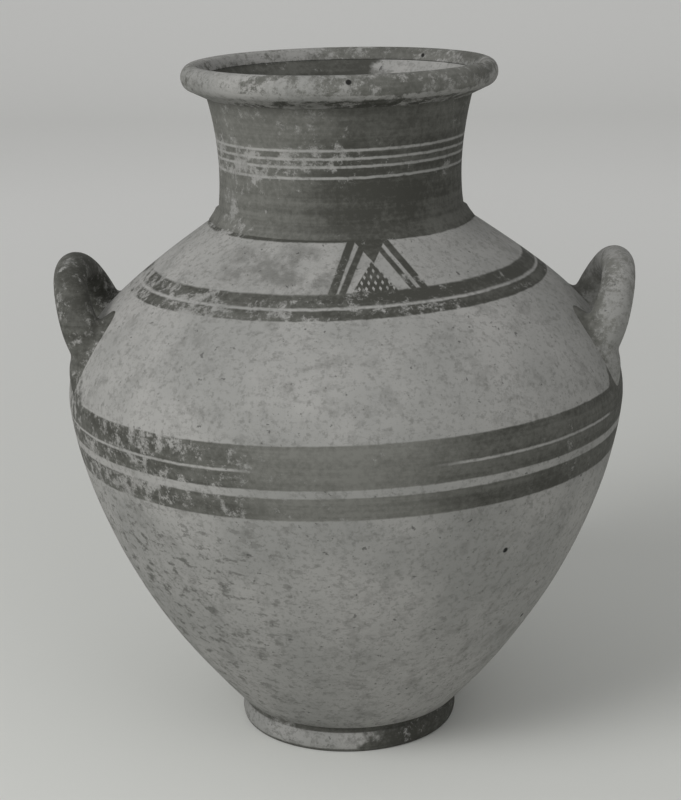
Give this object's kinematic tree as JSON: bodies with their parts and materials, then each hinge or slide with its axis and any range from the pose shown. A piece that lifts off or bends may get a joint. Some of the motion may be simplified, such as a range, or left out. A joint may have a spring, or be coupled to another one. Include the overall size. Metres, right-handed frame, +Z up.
{
  "type": "two-handled storage jar",
  "caption": "Tall fired clay storage jar with a wide belly, ring foot, waisted neck, thick lip and loop handles canted upward on the shoulder.",
  "frame": {"origin": "centre of the foot ring on the surface that the jar stands on", "axes": "+Z up along the axis of the jar, +X towards the right handle, -Y towards the front with the latticed triangle"},
  "size_m": [0.5256, 0.5068, 0.62],
  "materials": {
    "bare_clay": "matte fired clay",
    "painted_clay": "matte dark slip paint",
    "worn_painted_clay": "worn dark slip paint on matte clay"
  },
  "bodies": {
    "root": {"foot_ring": "worn_painted_clay", "lower_body": "bare_clay", "upper_body": "bare_clay", "neck": "painted_clay", "neck_collar": "painted_clay", "rim": "worn_painted_clay", "right_handle": "worn_painted_clay", "left_handle": "worn_painted_clay"}
  },
  "joints": []
}
